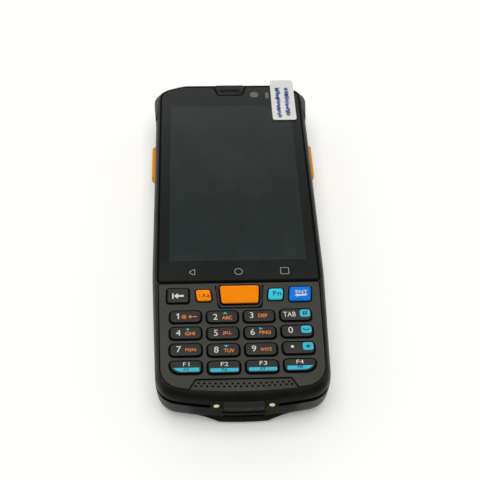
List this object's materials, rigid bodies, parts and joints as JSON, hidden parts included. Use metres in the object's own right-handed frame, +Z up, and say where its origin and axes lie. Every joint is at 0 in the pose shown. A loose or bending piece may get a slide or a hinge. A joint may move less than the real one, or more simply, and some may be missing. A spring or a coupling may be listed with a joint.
{
  "type": "handheld barcode data terminal",
  "caption": "Rugged handheld data terminal with a tall touch screen, a raised phone-style keypad, side scan keys, a flap over its charging port and a hinged battery cover.",
  "frame": {"origin": "centre of the footprint of the whole part, on the surface that it rests on", "axes": "+X to the user's right, +Y from the keypad's foot towards the scan window at the head, +Z up out of the screen"},
  "size_m": [0.0664, 0.1632, 0.017],
  "materials": {
    "housing_black": "fine moulded texture, charcoal black",
    "bumper_rubber": "soft matt overmould",
    "fascia_grey": "fine matt warm grey",
    "cover_glass": "black-backed cover glass with a dark picture area",
    "clear_film": "clear protective film",
    "tab_film": "milky pull tab",
    "pressed_steel": "bright pressed steel",
    "mesh_black": "fine black mesh",
    "module_black": "moulded black",
    "keypad_silicone": "soft keypad mat",
    "circuit_board": "green solder mask",
    "cover_rubber": "soft matt rubber",
    "gold_contact": "pale gold plate",
    "side_key_orange": "satin orange",
    "key_orange": "satin orange",
    "key_cyan": "satin cyan",
    "key_blue": "satin blue",
    "key_charcoal": "satin charcoal",
    "battery_wrap": "dark wrapped cell",
    "scan_red_glass": "deep red filter",
    "flash_lens": "pale yellow lens"
  },
  "bodies": {
    "housing": {"front_housing": "housing_black", "rear_housing": "housing_black", "left_bumper": "bumper_rubber", "right_bumper": "bumper_rubber", "keypad_fascia": "fascia_grey", "front_glass": "cover_glass", "screen_film": "clear_film", "peel_tab": "tab_film", "display_module": "pressed_steel", "earpiece_cover": "housing_black", "earpiece_mesh": "mesh_black", "receiver": "pressed_steel", "front_camera": "module_black", "light_sensor": "module_black", "keypad_mat": "keypad_silicone", "dome_switches": "pressed_steel", "keypad_board": "circuit_board", "main_board": "circuit_board", "shield_cans": "pressed_steel", "port_board": "circuit_board", "usb_socket": "pressed_steel", "charge_contacts": "gold_contact", "loudspeaker": "module_black", "side_switches": "pressed_steel", "battery_pack": "battery_wrap", "battery_contacts": "module_black", "scan_engine": "module_black", "scan_window": "scan_red_glass", "rear_camera": "module_black", "flash_led": "flash_lens", "housing_screws": "pressed_steel", "seal_gasket": "bumper_rubber", "vibration_motor": "pressed_steel"},
    "key_backspace": {"key_backspace": "key_charcoal"},
    "key_shift": {"key_shift": "key_orange"},
    "key_scan": {"key_scan": "key_orange"},
    "key_fn": {"key_fn": "key_cyan"},
    "key_enter": {"key_enter": "key_blue"},
    "key_f1": {"key_f1": "key_charcoal"},
    "key_f2": {"key_f2": "key_charcoal"},
    "key_f3": {"key_f3": "key_charcoal"},
    "key_f4": {"key_f4": "key_charcoal"},
    "key_7": {"key_7": "key_charcoal"},
    "key_8": {"key_8": "key_charcoal"},
    "key_9": {"key_9": "key_charcoal"},
    "key_dot": {"key_dot": "key_charcoal"},
    "key_4": {"key_4": "key_charcoal"},
    "key_5": {"key_5": "key_charcoal"},
    "key_6": {"key_6": "key_charcoal"},
    "key_0": {"key_0": "key_charcoal"},
    "key_1": {"key_1": "key_charcoal"},
    "key_2": {"key_2": "key_charcoal"},
    "key_3": {"key_3": "key_charcoal"},
    "key_tab": {"key_tab": "key_charcoal"},
    "left_scan_key": {"left_scan_key": "side_key_orange"},
    "right_scan_key": {"right_scan_key": "side_key_orange"},
    "power_key": {"power_key": "key_charcoal"},
    "usb_cover": {"usb_cover": "cover_rubber"},
    "battery_cover": {"battery_cover": "housing_black"},
    "battery_latch": {"battery_latch": "key_charcoal"}
  },
  "joints": [
    {"name": "key_backspace_press", "type": "slide", "parent": "housing", "child": "key_backspace", "axis": [0, 0, -1], "range_m": [0, 0.00045], "stiffness_N_per_m": 300, "springref_m": -0.0008},
    {"name": "key_shift_press", "type": "slide", "parent": "housing", "child": "key_shift", "axis": [0, 0, -1], "range_m": [0, 0.00045], "stiffness_N_per_m": 300, "springref_m": -0.0008},
    {"name": "key_scan_press", "type": "slide", "parent": "housing", "child": "key_scan", "axis": [0, 0, -1], "range_m": [0, 0.00045], "stiffness_N_per_m": 300, "springref_m": -0.0008},
    {"name": "key_fn_press", "type": "slide", "parent": "housing", "child": "key_fn", "axis": [0, 0, -1], "range_m": [0, 0.00045], "stiffness_N_per_m": 300, "springref_m": -0.0008},
    {"name": "key_enter_press", "type": "slide", "parent": "housing", "child": "key_enter", "axis": [0, 0, -1], "range_m": [0, 0.00045], "stiffness_N_per_m": 300, "springref_m": -0.0008},
    {"name": "key_f1_press", "type": "slide", "parent": "housing", "child": "key_f1", "axis": [0, 0, -1], "range_m": [0, 0.00045], "stiffness_N_per_m": 300, "springref_m": -0.0008},
    {"name": "key_f2_press", "type": "slide", "parent": "housing", "child": "key_f2", "axis": [0, 0, -1], "range_m": [0, 0.00045], "stiffness_N_per_m": 300, "springref_m": -0.0008},
    {"name": "key_f3_press", "type": "slide", "parent": "housing", "child": "key_f3", "axis": [0, 0, -1], "range_m": [0, 0.00045], "stiffness_N_per_m": 300, "springref_m": -0.0008},
    {"name": "key_f4_press", "type": "slide", "parent": "housing", "child": "key_f4", "axis": [0, 0, -1], "range_m": [0, 0.00045], "stiffness_N_per_m": 300, "springref_m": -0.0008},
    {"name": "key_7_press", "type": "slide", "parent": "housing", "child": "key_7", "axis": [0, 0, -1], "range_m": [0, 0.00045], "stiffness_N_per_m": 300, "springref_m": -0.0008},
    {"name": "key_8_press", "type": "slide", "parent": "housing", "child": "key_8", "axis": [0, 0, -1], "range_m": [0, 0.00045], "stiffness_N_per_m": 300, "springref_m": -0.0008},
    {"name": "key_9_press", "type": "slide", "parent": "housing", "child": "key_9", "axis": [0, 0, -1], "range_m": [0, 0.00045], "stiffness_N_per_m": 300, "springref_m": -0.0008},
    {"name": "key_dot_press", "type": "slide", "parent": "housing", "child": "key_dot", "axis": [0, 0, -1], "range_m": [0, 0.00045], "stiffness_N_per_m": 300, "springref_m": -0.0008},
    {"name": "key_4_press", "type": "slide", "parent": "housing", "child": "key_4", "axis": [0, 0, -1], "range_m": [0, 0.00045], "stiffness_N_per_m": 300, "springref_m": -0.0008},
    {"name": "key_5_press", "type": "slide", "parent": "housing", "child": "key_5", "axis": [0, 0, -1], "range_m": [0, 0.00045], "stiffness_N_per_m": 300, "springref_m": -0.0008},
    {"name": "key_6_press", "type": "slide", "parent": "housing", "child": "key_6", "axis": [0, 0, -1], "range_m": [0, 0.00045], "stiffness_N_per_m": 300, "springref_m": -0.0008},
    {"name": "key_0_press", "type": "slide", "parent": "housing", "child": "key_0", "axis": [0, 0, -1], "range_m": [0, 0.00045], "stiffness_N_per_m": 300, "springref_m": -0.0008},
    {"name": "key_1_press", "type": "slide", "parent": "housing", "child": "key_1", "axis": [0, 0, -1], "range_m": [0, 0.00045], "stiffness_N_per_m": 300, "springref_m": -0.0008},
    {"name": "key_2_press", "type": "slide", "parent": "housing", "child": "key_2", "axis": [0, 0, -1], "range_m": [0, 0.00045], "stiffness_N_per_m": 300, "springref_m": -0.0008},
    {"name": "key_3_press", "type": "slide", "parent": "housing", "child": "key_3", "axis": [0, 0, -1], "range_m": [0, 0.00045], "stiffness_N_per_m": 300, "springref_m": -0.0008},
    {"name": "key_tab_press", "type": "slide", "parent": "housing", "child": "key_tab", "axis": [0, 0, -1], "range_m": [0, 0.00045], "stiffness_N_per_m": 300, "springref_m": -0.0008},
    {"name": "left_scan_key_press", "type": "slide", "parent": "housing", "child": "left_scan_key", "axis": [1, 0, 0], "range_m": [0, 0.0004], "stiffness_N_per_m": 400, "springref_m": -0.001},
    {"name": "right_scan_key_press", "type": "slide", "parent": "housing", "child": "right_scan_key", "axis": [-1, 0, 0], "range_m": [0, 0.0004], "stiffness_N_per_m": 400, "springref_m": -0.001},
    {"name": "power_key_press", "type": "slide", "parent": "housing", "child": "power_key", "axis": [0, -1, 0], "range_m": [0, 0.0004], "stiffness_N_per_m": 400, "springref_m": -0.001},
    {"name": "usb_cover_hinge", "type": "hinge", "parent": "housing", "child": "usb_cover", "pos_m": [0, -0.08035, 0.0083], "axis": [1, 0, 0], "range_deg": [0, 90]},
    {"name": "battery_cover_hinge", "type": "hinge", "parent": "housing", "child": "battery_cover", "pos_m": [0, -0.05575, 0.0017], "axis": [-1, 0, 0], "range_deg": [0, 75]},
    {"name": "battery_latch_slide", "type": "slide", "parent": "battery_cover", "child": "battery_latch", "axis": [0, 1, 0], "range_m": [0, 0.0022]}
  ]
}
